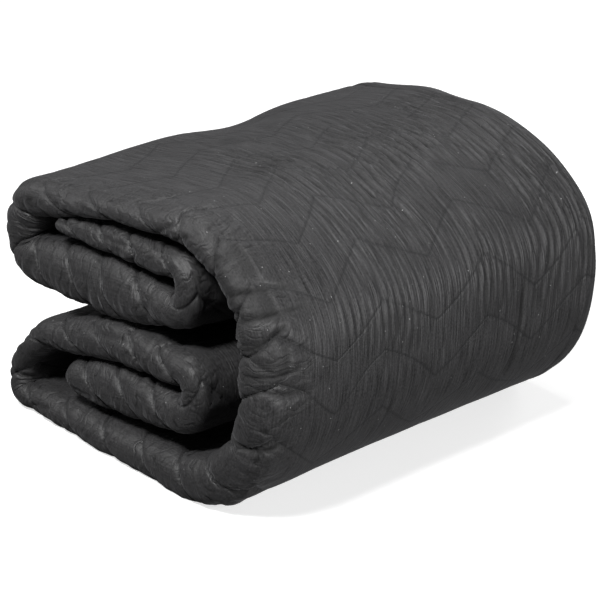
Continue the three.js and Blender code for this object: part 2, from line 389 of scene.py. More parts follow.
def soft_noise(a, b, scale):
    """Smooth random heights from -1 to 1. The scale is a length along a, one along b, and a seed."""
    a_length, b_length, seed = scale
    a, b = a / a_length, b / b_length
    i, j = np.floor(a).astype(int), np.floor(b).astype(int)
    s, t = smooth(a - i), smooth(b - j)
    i0, i1, j0, j1 = i % LATTICE, (i + 1) % LATTICE, j % LATTICE, (j + 1) % LATTICE
    heights = lattice(seed)
    return lerp(lerp(heights[i0, j0], heights[i1, j0], s), lerp(heights[i0, j1], heights[i1, j1], s), t)


print("soft unevenness repeats after", LATTICE, "of its lengths")

# %% The zigzag rows on the flat cloth
ROW_PITCH = 57.0
ROW_AT = 885.0
ZIGZAG_RISE = 42.0
ZIGZAG_RUN = 70.0
ZIGZAG_LOW_AT = 77.0
ROW_WANDER = 5.0
WANDER_ACROSS, WANDER_ALONG = (70, 60, 9), (60, 75, 10)


def stitch_rows(u, s):
    """How many rows along the strip a point lies: a whole number on a row of stitching."""
    u = u + ROW_WANDER * soft_noise(u, s, WANDER_ACROSS)
    s = s + ROW_WANDER * soft_noise(u, s, WANDER_ALONG)
    phase = ((u - ZIGZAG_LOW_AT) / ZIGZAG_RUN) % 2
    zigzag = np.abs(2 * phase - 2) - 1
    return (s - ROW_AT - ZIGZAG_RISE / 2 * zigzag) / ROW_PITCH


print(round(STRIP_LENGTH / ROW_PITCH), "rows of stitching,", round(2 * ZIGZAG_RUN), "mm to a zigzag")

# %% [markdown]
# ## Where the cloth is drawn in
# A plain shape becomes cloth by its folds. The real face is gathered by the stitching round the wrap, pressed
# together at the near noses and crowded in the tight turns. Each of these places is described by a share
# from 0 to 1 on the flat cloth, and the few creases that stand out in the photo are listed one by one.
# Sculpting could do the same by eye, but a table of creases can be read and changed.

# %% Where the cloth is gathered
NEAR_FADE = 30.0
TIGHT_TURNS = ("upper tail", "upper return", "bottom", "lower return")
TURN_MIDDLES = [MIDDLES[fold_after(name)] for name in TIGHT_TURNS]
TURN_REACH = 50.0
SPINE_NEAR_FROM, SPINE_NEAR_TO, SPINE_NEAR_FADE = 880.0, 1120.0, 60.0
TOP_CRINKLE, SIDE_CRINKLE = 0.6, 0.35
BEND_FROM, SIDE_FROM, CRINKLE_FADE = 740.0, 965.0, 110.0
TURN_CALM, TURN_FADE = 40.0, 60.0
NOSE_CALM, NOSE_FADE = 30.0, 90.0


def patches(a, b, scale, level, contrast):
    """Soft patches from 0 to 1, for folds that come and go."""
    return np.clip(level + contrast * soft_noise(a, b, scale), 0, 1)


def bump(distance, width):
    """1 at no distance, fading to 0 like a bell."""
    return np.exp(-(distance / width) ** 2)


def near_share(u):
    """1 on the near nose, fading along the faces on both sides of it."""
    away = np.maximum(np.maximum(PLY_LENGTH - u, u - PLY_LENGTH - NOSE_ARC), 0)
    return bump(away, NEAR_FADE)


def turn_share(s):
    """1 in the tight turns of the strip."""
    return np.max([bump(s - middle, TURN_REACH) for middle in TURN_MIDDLES], axis=0)


def spine_share(s):
    """1 down the rounded side, where the near edge is drawn in most."""
    return smooth((s - SPINE_NEAR_FROM) / SPINE_NEAR_FADE) * smooth((SPINE_NEAR_TO - s) / SPINE_NEAR_FADE)


def crinkle_share(u, s):
    """Where the face is gathered into ripples: round the wrap, and not near the nose or the floor."""
    over_bend = lerp(TOP_CRINKLE, 1.0, smooth((s - BEND_FROM) / CRINKLE_FADE))
    down_side = lerp(1.0, SIDE_CRINKLE, smooth((s - SIDE_FROM) / CRINKLE_FADE))
    off_turn = smooth((s - TOP_START - TURN_CALM) / TURN_FADE)
    off_nose = smooth((PLY_LENGTH - NOSE_CALM - u) / NOSE_FADE)
    return over_bend * down_side * off_turn * off_nose


print(len(TURN_MIDDLES), "tight turns, at", [round(middle) for middle in TURN_MIDDLES], "mm along the strip")

# %% The creases listed one by one
CREASE_COLUMNS = ("from_u", "from_s", "to_u", "to_s", "width", "depth")
LONG_CREASE_LOW_ON_THE_SIDE = (
    (98.9, 1018, 98.9, 1076, 1.7, 6.0),
    (98.9, 1076, 104, 1112, 1.9, 5.0),
)
FAINT_RIDGES_BESIDE_IT = (
    (190, 1058, 222, 1073, 7, -0.8),
    (146, 1084, 200, 1105, 7, -0.8),
)
PLEATS_AT_THE_NEAR_EDGE = (
    (470, 922, 430, 930, 2.8, 4.0),
    (430, 930, 380, 942, 2.8, 2.6),
    (452, 913, 395, 926, 6, -1.4),
    (460, 955, 380, 962, 2.6, 3.0),
    (448, 966, 400, 969, 5, -1.0),
    (466, 992, 412, 972, 3.2, 4.2),
    (466, 1026, 404, 1016, 2.8, 3.2),
    (460, 1038, 400, 1052, 2.8, 3.2),
    (446, 1056, 410, 1064, 5, -1.2),
    (476, 1114, 412, 1092, 3.2, 4.0),
)
ALL_CREASES = LONG_CREASE_LOW_ON_THE_SIDE + FAINT_RIDGES_BESIDE_IT + PLEATS_AT_THE_NEAR_EDGE
CREASES = [dict(zip(CREASE_COLUMNS, row)) for row in ALL_CREASES]
CREASE_FADE = 0.25


def placed_creases(u, s):
    """The height of the creases in the table: troughs, and ridges where the depth is negative."""
    height = np.zeros(len(u))
    for c in CREASES:
        across = np.array([c["to_u"] - c["from_u"], c["to_s"] - c["from_s"]], dtype=float)
        to_u, to_s = u - c["from_u"], s - c["from_s"]
        t = (to_u * across[0] + to_s * across[1]) / (across @ across)
        inside = np.clip(t, 0, 1)
        distance = np.hypot(to_u - inside * across[0], to_s - inside * across[1])
        fade_in = smooth((t + CREASE_FADE) / (2 * CREASE_FADE))
        fade_out = smooth((1 + CREASE_FADE - t) / (2 * CREASE_FADE))
        height -= c["depth"] * fade_in * fade_out * np.exp(-distance / c["width"])
    return height


print(len(CREASES), "creases placed by hand")

# %% The dip in the top
SAG_U, SAG_S, SAG_REACH, SAG_DEPTH = 180.0, 615.0, 48.0, 9.0


def top_sag(u, s):
    """The wide dip in the left edge of the top."""
    return -SAG_DEPTH * bump(np.hypot(u - SAG_U, s - SAG_S), SAG_REACH)


print("the top sags by", SAG_DEPTH, "mm")

# %% [markdown]
# ## Letting the face buckle
# A thin sheet that is too long for its place cannot stay flat: it buckles into ripples, and the stitching
# holds them down along its rows. Blender's cloth simulation does this for a whole blanket, but ripples this
# fine need more points than it settles in a few minutes. So a flat sheet of heights is relaxed here step by
# step, with a push along one way, a stiffness that picks the width of the ripples, and a hold along the
# stitches.

# %% Relaxing a sheet of heights
GRID = 2.0
TIME_STEP, BUCKLING_STEPS = 0.06, 160
FOLD_STEEPNESS, FOLD_TENSION = 0.8, 0.6
FIRST_UNEVENNESS = 0.1


def buckle(axis, wavelength, excess, held, seed):
    """Heights of a flat sheet that is too long along one axis, where its excess is above 0."""
    wave = 2 * np.pi / wavelength
    along, across = [2 * np.pi * np.fft.fftfreq(excess.shape[k], GRID) for k in (axis, 1 - axis)]
    along, across = (along[:, None], across[None, :]) if axis == 0 else (along[None, :], across[:, None])
    push = 2 / wave ** 2 * (1 + excess)
    softening = 8 / (3 * wave ** 2 * FOLD_STEEPNESS ** 2)
    stiffness = 1 + ((along ** 2 + across ** 2) / wave ** 2) ** 2 + FOLD_TENSION * (across / wave) ** 2
    height = np.random.default_rng(seed).normal(0, FIRST_UNEVENNESS, excess.shape)
    for _ in range(BUCKLING_STEPS):
        slope = np.fft.ifft2(1j * along * np.fft.fft2(height)).real
        force = np.fft.ifft2(1j * along * np.fft.fft2((push - softening * slope ** 2) * slope)).real
        moved = height - TIME_STEP * (force + held * height)
        height = np.fft.ifft2(np.fft.fft2(moved) / (1 + TIME_STEP * stiffness)).real
    return height


print("a sheet is relaxed in", BUCKLING_STEPS, "steps, on points", GRID, "mm apart")

# %% Letting an area of the cloth buckle
STITCH_HOLD, STITCH_HOLD_WIDTH = 4.0, 2.5
INSIDE_LAST_POINT = 1.001


def buckled(axis, wavelength, u_range, s_range, excess_at, seed):
    """Buckles one area of the cloth and gives a function that reads its heights."""
    u, s = np.meshgrid(np.arange(*u_range, GRID), np.arange(*s_range, GRID), indexing="ij")
    rows = stitch_rows(u.ravel(), s.ravel()).reshape(u.shape)
    held = STITCH_HOLD * bump((rows - np.round(rows)) * ROW_PITCH, STITCH_HOLD_WIDTH)
    excess = excess_at(u.ravel(), s.ravel()).reshape(u.shape)
    heights = buckle(axis, wavelength, excess, held, seed)
    print("buckled", heights.shape, "points by up to", round(float(np.abs(heights).max()), 2), "mm")

    def read(u, s):
        i = np.clip((u - u_range[0]) / GRID, 0, heights.shape[0] - INSIDE_LAST_POINT)
        j = np.clip((s - s_range[0]) / GRID, 0, heights.shape[1] - INSIDE_LAST_POINT)
        i0, j0 = i.astype(int), j.astype(int)
        low = lerp(heights[i0, j0], heights[i0 + 1, j0], i - i0)
        high = lerp(heights[i0, j0 + 1], heights[i0 + 1, j0 + 1], i - i0)
        return lerp(low, high, j - j0)
    return read


print("the stitching holds the cloth down", STITCH_HOLD_WIDTH, "mm to each side")

# %% Ripples round the wrap and wrinkles across the nose
RIPPLE_PITCH, RIPPLE_PATCH, RIPPLE_SEED = 10.5, (45, 70, 16), 21
WRINKLE_PITCH, WRINKLE_PATCH, WRINKLE_SEED = 21.0, (40, 60, 17), 22
CALM, GATHERED = -0.7, 1.9
TURN_WRINKLE = 0.5
MARGIN, BEFORE_TOP, BESIDE_NOSE = 20.0, 40.0, 80.0


def ripple_excess(u, s):
    """How much too long the face is round the wrap."""
    return CALM + GATHERED * crinkle_share(u, s) * patches(u, s, RIPPLE_PATCH, level=0.75, contrast=0.6)


def wrinkle_excess(u, s):
    """How much too long the face is along the near nose and in the tight turns."""
    pressed = np.maximum(near_share(u), TURN_WRINKLE * turn_share(s))
    return CALM + GATHERED * (pressed * patches(s, u, WRINKLE_PATCH, level=0.6, contrast=0.9))


ripples = buckled(0, RIPPLE_PITCH, (-MARGIN, PLY_LENGTH), (TOP_START - BEFORE_TOP, BOTTOM_START),
                  ripple_excess, RIPPLE_SEED)
wrinkles = buckled(1, WRINKLE_PITCH, (PLY_LENGTH - BESIDE_NOSE, PLY_LENGTH + NOSE_ARC + BESIDE_NOSE),
                   (-MARGIN, STRIP_LENGTH + MARGIN), wrinkle_excess, WRINKLE_SEED)

# %% [markdown]
# ## The relief of the skin
# All folds are now added up to one height for every point of the skin: puffs of the filling between the rows,
# pinches and small puckers along a row where it goes round the nose, ripples, hard creases and the creases
# placed by hand. Gathered cloth lies in wide ripples with narrow valleys between them, and pressed cloth has
# sharp valleys between flats, so two small helpers give these profiles.

# %% Hard creases across the nose
VALLEY_WIDTH, VALLEY_SHARPNESS = 0.3, 1.1
CRUMPLE_SLANT, SLANT_SCALE = 24.0, (30, 60, 24)
LONG_CREASE, LONG_SCALE, LONG_PATCH = 2.6, (30, 60, 31), (50, 50, 33)
SHORT_CREASE, SHORT_SCALE, SHORT_PATCH = 1.1, (12, 30, 32), (35, 40, 34)
CRUMPLE_MEAN, TURN_CRUMPLE = 0.8, 0.6


def sharp_valleys(a, b, scale):
    """1 in narrow valleys, along the lines where a soft noise is 0, and 0 on the flats between them."""
    return np.clip(1 - np.abs(soft_noise(a, b, scale)) / VALLEY_WIDTH, 0, 1) ** VALLEY_SHARPNESS


def crumple(u, s):
    """Hard creases across the nose, long ones and short ones, as uneven as pressed cloth has them."""
    slant = s + CRUMPLE_SLANT * soft_noise(u, s, SLANT_SCALE)
    long_ones = sharp_valleys(slant, u, LONG_SCALE) * patches(s, u, LONG_PATCH, level=0.6, contrast=0.8)
    short_ones = sharp_valleys(slant, u, SHORT_SCALE) * patches(s, u, SHORT_PATCH, level=0.5, contrast=1.0)
    pressed = np.maximum(near_share(u), TURN_CRUMPLE * turn_share(s))
    return pressed * (CRUMPLE_MEAN - LONG_CREASE * long_ones - SHORT_CREASE * short_ones)


print("creases up to", LONG_CREASE, "mm deep across the nose")

# %% Ripples with narrow valleys
RIPPLE_SHARE, RIPPLE_TOP, RIPPLE_SHARPNESS = 1.7, 1.6, 1.8
DEEPEST_VALLEY = 1.2
RIPPLE_SWAY, SWAY_SCALE = 8.0, (28, 90, 23)
RIPPLE_UNEVENNESS, UNEVEN_SCALE = 0.5, (30, 60, 25)
CREASE_CLOSED, RIPPLE_CLOSED = 4.0, 4.0


def narrow_valleys(height):
    """The same ripples with wide tops and narrow valleys, which is how gathered cloth lies."""
    depth = np.clip((1 - height / RIPPLE_TOP) / 2, 0, DEEPEST_VALLEY)
    return RIPPLE_TOP * 2 * (0.5 ** RIPPLE_SHARPNESS - depth ** RIPPLE_SHARPNESS)


def rippled(u, s):
    """The ripples round the wrap, stronger here and weaker there."""
    swayed_u = u + RIPPLE_SWAY * soft_noise(u, s, SWAY_SCALE)
    uneven = 1 + RIPPLE_UNEVENNESS * soft_noise(u, s, UNEVEN_SCALE)
    return RIPPLE_SHARE * uneven * narrow_valleys(ripples(swayed_u, s))


def folded_in(u, s):
    """0 on the open face, up to 1 down in a crease or between ripples, where the cloth meets itself. The
    fabric paints shade there by darkening its colour, and makes it rougher.
    """
    return np.clip(-placed_creases(u, s) / CREASE_CLOSED - rippled(u, s) / RIPPLE_CLOSED, 0, 1)


print("ripples about", RIPPLE_PITCH, "mm apart")

# %% The relief of the skin
WRAP_PUFF, NEAR_PUFF, SPINE_PUFF, TURN_PUFF = 0.35, 1.0, 1.7, 0.6
PUFF_ROUNDNESS, PUFF_MEAN = 0.6, 0.65
NEAR_PINCH, SPINE_PINCH, PINCH_WIDTH = 2.6, 3.2, 3.0
SWELL_DEPTH, SWELL_SCALE = 1.2, (75, 75, 18)
HEM_SEAM_AT, HEM_SEAM_WIDTH, HEM_SEAM_DEPTH = 12.0, 3.5, 1.2
WRINKLE_SHARE, SPINE_CALM = 0.18, 0.7
PUCKER_DEPTH, PUCKER_REACH, PUCKER_PITCH, PUCKER_STRIDE = 1.1, 9.0, 8.0, 3.3
PUCKER_SCALE = (1, 25, 35)
ROW_UNEVENNESS, ROW_STRIDE, ROW_SCALE = 0.6, 1.7, (1, 80, 11)


def relief(u, s):
    """How far the skin stands out from the smooth cloth."""
    row = stitch_rows(u, s)
    distance = np.abs(row - np.round(row))
    near, turn, spine = near_share(u), turn_share(s), spine_share(s)
    uneven = 1 + ROW_UNEVENNESS * soft_noise(np.round(row) * ROW_STRIDE, u, ROW_SCALE)
    height = WRAP_PUFF + TURN_PUFF * turn + near * lerp(NEAR_PUFF, SPINE_PUFF, spine)
    puff = height * uneven * (np.sin(np.pi * distance) ** PUFF_ROUNDNESS - PUFF_MEAN)
    pinch_depth = lerp(NEAR_PINCH, SPINE_PINCH, spine) * uneven * near
    pinch = -pinch_depth * np.exp(-distance * ROW_PITCH / PINCH_WIDTH)
    swell = SWELL_DEPTH * soft_noise(u, s, SWELL_SCALE)
    seam = -HEM_SEAM_DEPTH * bump(u - HEM_SEAM_AT, HEM_SEAM_WIDTH)
    wrinkled = WRINKLE_SHARE * (1 - SPINE_CALM * spine) * wrinkles(u, s)
    beside_row = np.exp(-distance * ROW_PITCH / PUCKER_REACH)
    pucker_place = u / PUCKER_PITCH + PUCKER_STRIDE * np.round(row)
    pucker = -PUCKER_DEPTH * near * beside_row * sharp_valleys(pucker_place, s, PUCKER_SCALE)
    quilting = puff + pinch + swell + seam + pucker
    return quilting + rippled(u, s) + wrinkled + crumple(u, s) + placed_creases(u, s) + top_sag(u, s)


spine_relief = relief(np.array([PLY_LENGTH / 2]), spine_middle[:1])
print("halfway down the spine the skin stands out by", spine_relief.round(2).tolist(), "mm")

# %% [markdown]
# ## The cloth
# Now the outline is carried along the strip, row by row, and neighbouring rows are joined with faces. A sweep
# along a curve with a bevel could do this for a plain tube. Here every point also needs its own relief, the
# hidden plies need far fewer points than the skin, and the near nose needs more rows than the rest. So the
# rows are made in code, with short rows between them round the nose, and zipped together.

# %% Points of the cloth
TAIL_FLATNESS, TAIL_TAPER, TAIL_HEM = 0.3, 70.0, 9.0
TAIL_HEM_SHARE = 0.35
HEM_UNEVENNESS, HEM_SCALE = 2.5, (45, 1, 19)
FAR_DRAW_START, FAR_DRAW_SHARE = 0.5, 0.05
SHIFT_X = -3.7


def cloth_points(outline, s_value):
    """The points of one row of the cloth, in millimetres."""
    u, y = outline["u"], outline["y"]
    s = np.full(len(u), s_value)
    along = (y + HALF_WIDTH) / FOLDED_WIDTH
    place, out = strip(s, along)
    from_tail = min(s_value, STRIP_LENGTH - s_value)
    loft = loft_at(s, along) * (1 - TAIL_FLATNESS * (1 - smooth(from_tail / TAIL_TAPER)))
    closing = lerp(TAIL_HEM_SHARE, 1.0, math.sqrt(min(from_tail / TAIL_HEM, 1.0)))
    n = lerp(outline["middle_n"], outline["n"], closing)
    reach = lerp(outline["middle_reach"], outline["reach"], closing)
    height = relief(u, s) * outline["skin"]
    offset = n * loft / 2 + height * outline["toward_out"]
    drawn = 1 - FAR_DRAW_SHARE * smooth((along - FAR_DRAW_START) / (1 - FAR_DRAW_START))
    hem = outline["hem"] * HEM_UNEVENNESS * soft_noise(s, np.floor(u / PLY_LENGTH), HEM_SCALE)
    x = drawn * (place[:, 0] + out[:, 0] * offset) + SHIFT_X
    y = y + reach * NOSE + height * outline["toward_y"] + set_back_at(s) * outline["nose"] + hem
    z = np.maximum(place[:, 1] + out[:, 1] * offset, 0.0)
    return np.stack([x, y, z], axis=-1)


first_row = cloth_points(OUTLINES["coarse"], 0.0)
print("the first row reaches from", first_row.min(axis=0).round().tolist(), "to",
      first_row.max(axis=0).round().tolist(), "mm")

# %% How fine the rows are
FINE_INTO_TURN, FINE_PAST_SPINE = 20, 30
MEDIUM_BEFORE_TURN, MEDIUM_PAST_TURN = 40, 30
FINE_FROM = STARTS[fold_after("upper return")] + FINE_INTO_TURN
FINE_TO = BOTTOM_START + FINE_PAST_SPINE
MEDIUM_FROM = STARTS[fold_after("bottom")] - MEDIUM_BEFORE_TURN
MEDIUM_TO = STARTS[run_number("lower return")] + MEDIUM_PAST_TURN
SECTION_COLUMNS = ("kind", "from", "to", "step")
SECTIONS = [dict(zip(SECTION_COLUMNS, section)) for section in (
    ("coarse", 0.0, FINE_FROM, 5.0),
    ("fine", FINE_FROM, FINE_TO, 7.2),
    ("coarse", FINE_TO, MEDIUM_FROM, 5.4),
    ("medium", MEDIUM_FROM, MEDIUM_TO, 5.0),
    ("coarse", MEDIUM_TO, STRIP_LENGTH, 5.0),
)]
SHORT_ROWS = {"fine": 2, "medium": 1, "coarse": 1}
BAND_BEFORE, BAND_AFTER = 45.0, 14.0


def nose_band(outline):
    """The first and the last column that the short rows round the nose run between."""
    u = outline["u"][:int(np.argmax(outline["u"])) + 1]
    return (int(np.searchsorted(u, PLY_LENGTH - BAND_BEFORE)),
            int(np.searchsorted(u, PLY_LENGTH + NOSE_ARC + BAND_AFTER)))


BANDS = {kind: nose_band(outline) for kind, outline in OUTLINES.items()}
print(len(SECTIONS), "sections, with short rows between the columns", BANDS)

# %% Rows of the cloth
rows, points, flat_u, flat_s = [], [], [], []


def add_points(kind, s, first_column, last_column):
    """Adds a row, or the part of it between two columns, and gives the number of its first point."""
    outline, number = OUTLINES[kind], sum(len(p) for p in points)
    points.append(cloth_points(outline, s)[first_column:last_column])
    flat_u.append(outline["u"][first_column:last_column])
    flat_s.append(np.full(len(points[-1]), s))
    return number


for section in SECTIONS:
    kind, s_from, s_to = section["kind"], section["from"], section["to"]
    count = round((s_to - s_from) / section["step"])
    is_last = s_to == STRIP_LENGTH
    for k in range(count + is_last):
        s = lerp(s_from, s_to, k / count)
        row = {"kind": kind, "first": add_points(kind, s, 0, None), "short": []}
        if k < count - 1 or is_last and k < count:
            first_column, last_column = BANDS[kind]
            for part in range(1, SHORT_ROWS[kind] + 1):
                between = lerp(s, lerp(s_from, s_to, (k + 1) / count), part / (SHORT_ROWS[kind] + 1))
                row["short"].append(add_points(kind, between, first_column, last_column + 1) - first_column)
        rows.append(row)
points, flat_u, flat_s = np.concatenate(points), np.concatenate(flat_u), np.concatenate(flat_s)
print(len(rows), "rows and", len(points), "points")

# %% Faces where the rows change their fineness
def round_the_loop(outline):
    """How far round its loop each point lies, from 0 to 1: down the front and back up the rear."""
    u = outline["u"]
    turn = int(np.argmax(u))
    share = (u - u.min()) / (u.max() - u.min()) / 2
    return np.where(np.arange(len(u)) <= turn, share, 1 - share)


LOOPS = {kind: round_the_loop(outline) for kind, outline in OUTLINES.items()}


def zipped(first_a, a, first_b, b):
    """Triangles between two closed rows with different numbers of points."""
    triangles, i, j = [], 0, 0
    while i < len(a) or j < len(b):
        next_a = a[i + 1] if i + 1 < len(a) else 1.0 + (i + 1 - len(a))
        next_b = b[j + 1] if j + 1 < len(b) else 1.0 + (j + 1 - len(b))
        here_a, here_b = first_a + i % len(a), first_b + j % len(b)
        if i < len(a) and (next_a <= next_b or j >= len(b)):
            triangles.append((here_a, first_a + (i + 1) % len(a), here_b))
            i += 1
        else:
            triangles.append((here_a, first_b + (j + 1) % len(b), here_b))
            j += 1
    return triangles


print("rows change their fineness", len(SECTIONS) - 1, "times")

# %% Faces between like rows
def banded(row, after):
    """Faces between two like rows, with the short rows round the nose in between."""
    count = len(OUTLINES[row["kind"]]["u"])
    first_column, last_column = BANDS[row["kind"]] if row["short"] else (count, count)
    a, b, short = row["first"], after["first"], row["short"]
    found = []
    for i in range(count):
        j = (i + 1) % count
        if first_column <= i < last_column:
            levels = [a, *short, b]
            found += [(low + i, low + j, high + j, high + i) for low, high in zip(levels, levels[1:])]
        elif j == first_column:
            found.append((a + i, a + j, *[m + j for m in short], b + j, b + i))
        elif i == last_column:
            found.append((a + i, a + j, b + j, b + i, *[m + i for m in reversed(short)]))
        else:
            found.append((a + i, a + j, b + j, b + i))
    return found


print(len(banded(*rows[:2])), "faces between the first two rows")

# %% Faces over the tails
def tail_faces(first, outline, turned):
    """The small faces that close a tail, between the front of the cloth and its rear."""
    u = outline["u"]
    turn = int(np.argmax(u))
    front, rear = list(range(turn + 1)), list(range(len(u) - 1, turn, -1))
    found, i, j = [], 0, 0
    while i + 1 < len(front) or j + 1 < len(rear):
        step_front = j + 1 >= len(rear) or (i + 1 < len(front) and u[front[i + 1]] <= u[rear[j + 1]])
        ahead = front[i + 1] if step_front else rear[j + 1]
        face = (first + front[i], first + rear[j], first + ahead)
        found.append(face if turned else face[::-1])
        i, j = (i + 1, j) if step_front else (i, j + 1)
    return found


faces = tail_faces(rows[0]["first"], OUTLINES[rows[0]["kind"]], turned=True)
faces += tail_faces(rows[-1]["first"], OUTLINES[rows[-1]["kind"]], turned=False)
print(len(faces), "faces over the two tails")

# %% All the faces
for row, after in zip(rows, rows[1:]):
    if row["kind"] == after["kind"]:
        faces += banded(row, after)
    else:
        faces += zipped(row["first"], LOOPS[row["kind"]], after["first"], LOOPS[after["kind"]])
print(len(faces), "faces")

# %% The mesh and its flat map
mesh = bpy.data.meshes.new("quilted_blanket_cloth")
mesh.from_pydata((points * MM).tolist(), [], faces)
mesh.update()
blanket = bpy.data.objects.new("quilted_blanket_cloth", mesh)
bpy.context.scene.collection.objects.link(blanket)
corner_points = np.zeros(len(mesh.loops), dtype=np.int32)
mesh.loops.foreach_get("vertex_index", corner_points)
flat_places = np.stack([flat_u, flat_s], axis=-1)[corner_points] * MM
mesh.uv_layers.new(name="flat_cloth").uv.foreach_set("vector", flat_places.ravel().astype(np.float32))
CARRIED = {
    "crinkle": crinkle_share(flat_u, flat_s),
    "pressed": near_share(flat_u),
    # folded_in also sets how much painted shade darkens the colour there.
    "folded_in": folded_in(flat_u, flat_s),
    "stitch_rows": stitch_rows(flat_u, flat_s),
}
for name, values in CARRIED.items():
    mesh.attributes.new(name, "FLOAT", "POINT").data.foreach_set("value", values.astype(np.float32))
mesh.shade_smooth()
triangle_count = sum(len(polygon.vertices) - 2 for polygon in mesh.polygons)
print("cloth of", triangle_count, "triangles")

# %% [markdown]
# ## The fabric
# The face is a brushed charcoal microfibre with a soft sheen, crossed by thread that is sunk into its rows.
# A painted picture could give that look, but it would stretch over the folds. These nodes read the flat map,
# so weave, thread and fine ripples follow the cloth wherever it is folded, at their real size.

# %% The fabric's nodes
NOISE_MIDDLE = 0.5
fabric = bpy.data.materials.new("charcoal_microfibre")
fabric.use_nodes = True
tree = fabric.node_tree
tree.nodes.clear()


def node(kind, **inputs):
    """A new node; a socket in inputs is linked and any other value is set."""
    made = tree.nodes.new(kind)
    for name, value in inputs.items():
        socket = made.inputs[int(name[1:])] if name[0] == "_" else made.inputs[name.replace("_", " ")]
        if isinstance(value, bpy.types.NodeSocket):
            tree.links.new(value, socket)
        else:
            socket.default_value = value
    return made


def maths(operation, *values, clamp=False):
    """The result of a Math node."""
    made = node("ShaderNodeMath", **{f"_{i}": value for i, value in enumerate(values)})
    made.operation, made.use_clamp = operation, clamp
    return made.outputs[0]


def noise(u, v, u_pitch, v_pitch, detail=2.0):
    """Noise on the flat map, with its own pitch in metres along each way of the cloth."""
    place = node("ShaderNodeCombineXYZ", X=maths("DIVIDE", u, u_pitch), Y=maths("DIVIDE", v, v_pitch))
    return node("ShaderNodeTexNoise", Vector=place.outputs[0], Scale=1.0, Detail=detail).outputs["Fac"]


def lines(field, width):
    """Thin lines where a noise passes its middle: 1 on a line and 0 away from it."""
    away = maths("ABSOLUTE", maths("SUBTRACT", field, NOISE_MIDDLE))
    return maths("SUBTRACT", 1.0, maths("DIVIDE", away, width), clamp=True)


flat = node("ShaderNodeUVMap")
flat.uv_map = "flat_cloth"
parts = node("ShaderNodeSeparateXYZ", Vector=flat.outputs[0])
u, v = parts.outputs["X"], parts.outputs["Y"]
print("fabric begun with", len(tree.nodes), "nodes")

# %% The thread
STITCH_LENGTH, STITCH_GAP_SHARE = 0.0042, 0.16
THREAD_WIDTH, GROOVE_WIDTH = 0.0009, 0.0030


def painted(name):
    """A value that the points of the cloth carry."""
    made = node("ShaderNodeAttribute")
    made.attribute_name = name
    return made.outputs["Fac"]


stitch_distance = maths("MULTIPLY", maths("PINGPONG", painted("stitch_rows"), 0.5), ROW_PITCH * MM)
in_thread = maths("SUBTRACT", 1.0, maths("DIVIDE", stitch_distance, THREAD_WIDTH), clamp=True)
groove = maths("SUBTRACT", 1.0, maths("DIVIDE", stitch_distance, GROOVE_WIDTH), clamp=True)
dash = maths("GREATER_THAN", maths("PINGPONG", u, STITCH_LENGTH / 2), STITCH_GAP_SHARE * STITCH_LENGTH)
thread = maths("MULTIPLY", in_thread, dash)
print("thread drawn in", len(tree.nodes), "nodes so far")

# %% Streaks and fine creases
STREAK_PITCH, STREAK_WIDTH = (0.005, 0.08), 0.14
SLANT_PITCH, SLANT = (0.03, 0.04), 0.035
CREASE_PITCH, CREASE_WIDTH = (0.035, 0.011), 0.03
PATCH_PITCH, PATCH_CONTRAST, PATCH_START = (0.018, 0.022), 7.0, -3.4

streak = noise(u, v, *STREAK_PITCH, detail=2.5)
streak_line = lines(streak, STREAK_WIDTH)
slanted_v = maths("MULTIPLY_ADD", noise(u, v, *SLANT_PITCH), SLANT, v)
crease_field = noise(u, slanted_v, *CREASE_PITCH, detail=1.5)
crease = maths("ABSOLUTE", maths("SUBTRACT", crease_field, NOISE_MIDDLE))
patch_field = noise(u, v, *PATCH_PITCH, detail=1.0)
crease_patch = maths("MULTIPLY_ADD", patch_field, PATCH_CONTRAST, PATCH_START, clamp=True)
# Thin crease lines, which the colour darkens as painted shade.
crease_line = maths("MULTIPLY", lines(crease_field, CREASE_WIDTH), crease_patch)
print("streaks and creases in", len(tree.nodes), "nodes so far")

# %% Weave, flecks and lint
WEAVE_PITCH, FLECK_PITCH = (0.0005, 0.0005), (0.0016, 0.0024)
SLUB_PITCH, TONE_PITCH = (0.0018, 0.03), (0.16, 0.11)
LINT_PER_METRE, LINT_SIZE, LINT_BARE_SHARE = 120.0, 0.07, 0.7

weave = noise(u, v, *WEAVE_PITCH, detail=1.0)
fleck = noise(u, v, *FLECK_PITCH)
slub = noise(u, v, *SLUB_PITCH)
tone = noise(u, v, *TONE_PITCH, detail=3.0)
lint = node("ShaderNodeTexVoronoi", Vector=flat.outputs[0], Scale=LINT_PER_METRE, Randomness=1.0)
lint_chance = node("ShaderNodeSeparateColor", Color=lint.outputs["Color"]).outputs[0]
lint_speck = maths("MULTIPLY", maths("LESS_THAN", lint.outputs["Distance"], LINT_SIZE),
                   maths("GREATER_THAN", lint_chance, LINT_BARE_SHARE))
print("weave, flecks and lint in", len(tree.nodes), "nodes so far")

# %% The colour of the cloth, with painted shade in its creases and grooves
COAL, COAL_WORN = (0.005, 0.0049, 0.0051, 1), (0.06, 0.059, 0.0607, 1)
# The deepest colour is painted shade, put down in creases and between ripples where the cloth folds in.
PAINTED_CREASE_SHADE = (0.002, 0.002, 0.002, 1)
# The thread's dark colour, also painted as shade in the sunk stitch groove.
THREAD_AND_GROOVE_SHADE, LINT_PALE = (0.012, 0.012, 0.0125, 1), (0.25, 0.25, 0.25, 1)
OPEN_MOTTLE, PRESSED_MOTTLE_CHANGE = 1.8, -1.0
STREAK_IN_GRAIN, GRAIN_MEAN = 0.5, 0.75
TONE_SHARE, MOTTLE_SHARE, FLECK_SHARE, TONE_BASE = 0.25, 0.55, 0.9, 0.22
# Shares of painted shade: in folded-in places, along the pressed crease lines and in the stitch groove.
FOLDED_IN_SHADE, CREASE_LINE_SHADE, GROOVE_SHADE, LINT_SHARE = 0.9, 0.9, 0.65, 0.7
MIX_COLOUR_A, MIX_COLOUR_B, MIX_COLOUR_RESULT = 6, 7, 2


